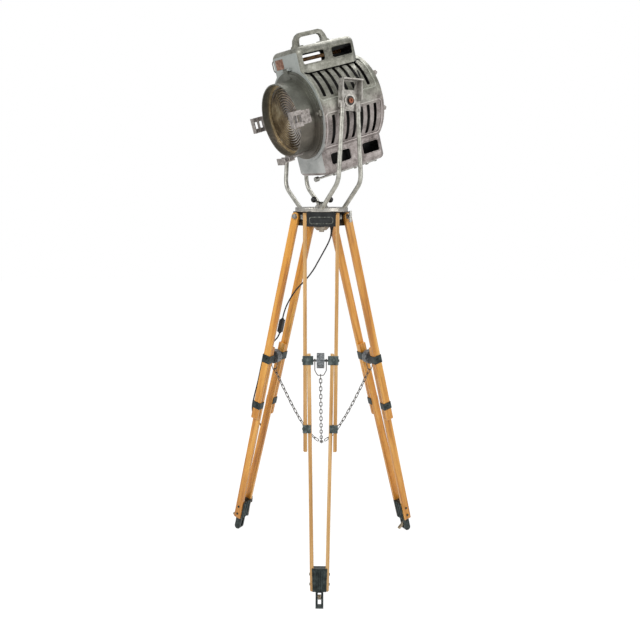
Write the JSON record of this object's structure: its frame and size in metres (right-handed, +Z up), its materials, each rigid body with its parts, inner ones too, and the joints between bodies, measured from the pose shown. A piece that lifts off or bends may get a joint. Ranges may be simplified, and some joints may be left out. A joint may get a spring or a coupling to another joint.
{
  "type": "tripod spotlight floor lamp",
  "caption": "Studio spotlight head in a bent-tube yoke on a folding wooden tripod with sliding leg sections and a spreader chain",
  "frame": {"origin": "middle of the underside of the box round the lamp without its cord, on the floor", "axes": "+Z up; the front leg points to -Y, the side of the camera; +X to the right in the picture"},
  "size_m": [0.7681, 0.9615, 1.9999],
  "materials": {
    "black_enamel": "semi-gloss black enamel on casting",
    "bright_steel": "plated steel hardware",
    "rubber": "matt black rubber",
    "satin_steel": "satin nickel-plated steel",
    "turned_bronze": "turned light bronze",
    "cast_aluminium": "sand-cast aluminium with grey patina",
    "tan_sheet": "heat-tanned sheet",
    "copper_plate": "bare coppery plate",
    "lens_glass": "clear pressed glass with warm cast",
    "lamp_glass": "clear glass",
    "mirror": "polished reflector",
    "ceramic": null,
    "dark_steel": "darkened steel",
    "leg_wood": "honey-coloured varnished hardwood",
    "blackened_steel": "blackened steel",
    "knob_steel": "grey ribbed casting",
    "chain_steel": "dull zinc-plated chain",
    "light_alloy": "bare light metal",
    "cord_rubber": "dark rubber sheath",
    "black_plastic": "matt black plastic"
  },
  "bodies": {
    "crown": {"crown_casting": "black_enamel", "hinge_bolts": "bright_steel", "cord_gland": "rubber"},
    "yoke": {"yoke_base_plate": "satin_steel", "pan_nut": "turned_bronze", "yoke_tubes_near": "satin_steel", "yoke_tubes_far": "satin_steel", "yoke_bracket_near": "cast_aluminium", "yoke_bracket_far": "cast_aluminium"},
    "pan_lock": {"pan_lock_handle": "black_enamel"},
    "head": {"housing": "cast_aluminium", "inner_baffle": "tan_sheet", "carry_handle": "cast_aluminium", "guide_rods": "bright_steel", "label_plate": "copper_plate"},
    "lens_door": {"lens_barrel": "cast_aluminium", "lens_ring": "bright_steel", "fresnel_lens": "lens_glass", "filter_clips": "dark_steel"},
    "rear_door": {"rear_cover": "cast_aluminium", "rear_latches": "dark_steel"},
    "focus": {"lamp_carriage": "tan_sheet", "lamp_socket": "ceramic", "lamp_bulb": "lamp_glass", "reflector": "mirror", "focus_rod": "bright_steel"},
    "tilt_lock_near": {"tilt_clamp_near": "turned_bronze"},
    "tilt_lock_far": {"tilt_clamp_far": "turned_bronze"},
    "front_leg": {"front_upper_bars": "leg_wood", "front_clamp_collars": "blackened_steel", "front_guide_straps": "blackened_steel"},
    "front_leg_lower": {"front_lower_bars": "leg_wood", "front_foot_casting": "blackened_steel"},
    "front_knob": {"front_clamp_knob": "knob_steel"},
    "front_chain_arm": {"front_chain": "chain_steel"},
    "front_tread": {"front_foot_tread": "light_alloy"},
    "right_leg": {"right_upper_bars": "leg_wood", "right_clamp_collars": "blackened_steel", "right_guide_straps": "blackened_steel"},
    "right_leg_lower": {"right_lower_bars": "leg_wood", "right_foot_casting": "blackened_steel"},
    "right_knob": {"right_clamp_knob": "knob_steel"},
    "right_chain_arm": {"right_chain": "chain_steel"},
    "right_tread": {"right_foot_tread": "light_alloy"},
    "left_leg": {"left_upper_bars": "leg_wood", "left_clamp_collars": "blackened_steel", "left_guide_straps": "blackened_steel", "cord_upper": "cord_rubber", "cord_switch": "black_plastic", "cord_lower": "cord_rubber", "cord_hank": "cord_rubber", "cord_tie": "black_plastic", "cord_plug": "black_plastic"},
    "left_leg_lower": {"left_lower_bars": "leg_wood", "left_foot_casting": "blackened_steel"},
    "left_knob": {"left_clamp_knob": "knob_steel"},
    "left_chain_arm": {"left_chain": "chain_steel"},
    "left_tread": {"left_foot_tread": "light_alloy"}
  },
  "joints": [
    {"name": "yoke_pan", "type": "hinge", "parent": "crown", "child": "yoke", "pos_m": [0.00461, 0.10365, 1.34], "axis": [0, 0, 1], "range_deg": [-170, 170]},
    {"name": "pan_lock_turn", "type": "hinge", "parent": "yoke", "child": "pan_lock", "pos_m": [0.00461, 0.10365, 1.384], "axis": [0, 0, 1], "range_deg": [-60, 60]},
    {"name": "head_tilt", "type": "hinge", "parent": "yoke", "child": "head", "pos_m": [0.00461, 0.10365, 1.739], "axis": [0.5548, -0.832, 0], "range_deg": [-60, 44]},
    {"name": "tilt_clamp_near_turn", "type": "hinge", "parent": "yoke", "child": "tilt_lock_near", "pos_m": [0.10448, -0.0461, 1.739], "axis": [0.5548, -0.832, 0], "range_deg": [-180, 180]},
    {"name": "tilt_clamp_far_turn", "type": "hinge", "parent": "yoke", "child": "tilt_lock_far", "pos_m": [-0.09526, 0.25341, 1.739], "axis": [-0.5548, 0.832, 0], "range_deg": [-180, 180]},
    {"name": "lens_door_swing", "type": "hinge", "parent": "head", "child": "lens_door", "pos_m": [-0.1194, 0.02095, 1.84835], "axis": [-0.5548, 0.832, 0], "range_deg": [0, 100]},
    {"name": "rear_door_swing", "type": "hinge", "parent": "head", "child": "rear_door", "pos_m": [0.09705, 0.1653, 1.93078], "axis": [0.5548, -0.832, 0], "range_deg": [0, 100]},
    {"name": "focus_slide", "type": "slide", "parent": "head", "child": "focus", "axis": [-0.8001, -0.5336, -0.274], "range_m": [-0.04, 0.02]},
    {"name": "front_leg_fold", "type": "hinge", "parent": "crown", "child": "front_leg", "pos_m": [0.00461, 0.02765, 1.34], "axis": [1, 0, 0], "range_deg": [0, 14.3]},
    {"name": "front_leg_extension", "type": "slide", "parent": "front_leg", "child": "front_leg_lower", "axis": [0, -0.2473, -0.9689], "range_m": [-0.18, 0]},
    {"name": "front_clamp_turn", "type": "hinge", "parent": "front_leg", "child": "front_knob", "pos_m": [0.00461, -0.10096, 0.83616], "axis": [1, 0, 0], "range_deg": [-180, 180]},
    {"name": "front_chain_swing", "type": "hinge", "parent": "front_leg", "child": "front_chain_arm", "pos_m": [0.00461, -0.10096, 0.83616], "axis": [1, 0, 0], "range_deg": [-33.14, 0.5]},
    {"name": "front_tread_turn", "type": "hinge", "parent": "front_leg_lower", "child": "front_tread", "pos_m": [0.00461, -0.30477, 0.03776], "axis": [1, 0, 0], "range_deg": [-5, 48]},
    {"name": "right_leg_fold", "type": "hinge", "parent": "crown", "child": "right_leg", "pos_m": [0.07043, 0.14165, 1.34], "axis": [-0.5, 0.866, 0], "range_deg": [0, 14.3]},
    {"name": "right_leg_extension", "type": "slide", "parent": "right_leg", "child": "right_leg_lower", "axis": [0.2142, 0.1237, -0.9689], "range_m": [-0.18, 0.04]},
    {"name": "right_clamp_turn", "type": "hinge", "parent": "right_leg", "child": "right_knob", "pos_m": [0.19402, 0.21301, 0.78093], "axis": [-0.5, 0.866, 0], "range_deg": [-180, 180]},
    {"name": "right_chain_swing", "type": "hinge", "parent": "right_leg", "child": "right_chain_arm", "pos_m": [0.19402, 0.21301, 0.78093], "axis": [-0.5, 0.866, 0], "range_deg": [-37.92, 0.5]},
    {"name": "right_tread_turn", "type": "hinge", "parent": "right_leg_lower", "child": "right_tread", "pos_m": [0.35831, 0.30786, 0.03776], "axis": [-0.5, 0.866, 0], "range_deg": [-4, 38]},
    {"name": "left_leg_fold", "type": "hinge", "parent": "crown", "child": "left_leg", "pos_m": [-0.06121, 0.14165, 1.34], "axis": [-0.5, -0.866, 0], "range_deg": [0, 14.3], "deforming": ["cord_upper"]},
    {"name": "left_leg_extension", "type": "slide", "parent": "left_leg", "child": "left_leg_lower", "axis": [-0.2142, 0.1237, -0.9689], "range_m": [-0.18, 0.04]},
    {"name": "left_clamp_turn", "type": "hinge", "parent": "left_leg", "child": "left_knob", "pos_m": [-0.1848, 0.21301, 0.78093], "axis": [-0.5, -0.866, 0], "range_deg": [-180, 180]},
    {"name": "left_chain_swing", "type": "hinge", "parent": "left_leg", "child": "left_chain_arm", "pos_m": [-0.1848, 0.21301, 0.78093], "axis": [-0.5, -0.866, 0], "range_deg": [-37.92, 0.5]},
    {"name": "left_tread_turn", "type": "hinge", "parent": "left_leg_lower", "child": "left_tread", "pos_m": [-0.34909, 0.30786, 0.03776], "axis": [-0.5, -0.866, 0], "range_deg": [-5, 48]}
  ],
  "couplings": [
    {"joint": "front_chain_swing", "follows": "front_leg_fold", "ratio": -2.2968},
    {"joint": "right_leg_fold", "follows": "front_leg_fold", "ratio": 1},
    {"joint": "right_chain_swing", "follows": "front_leg_fold", "ratio": -2.6306},
    {"joint": "left_leg_fold", "follows": "front_leg_fold", "ratio": 1},
    {"joint": "left_chain_swing", "follows": "front_leg_fold", "ratio": -2.6306}
  ]
}
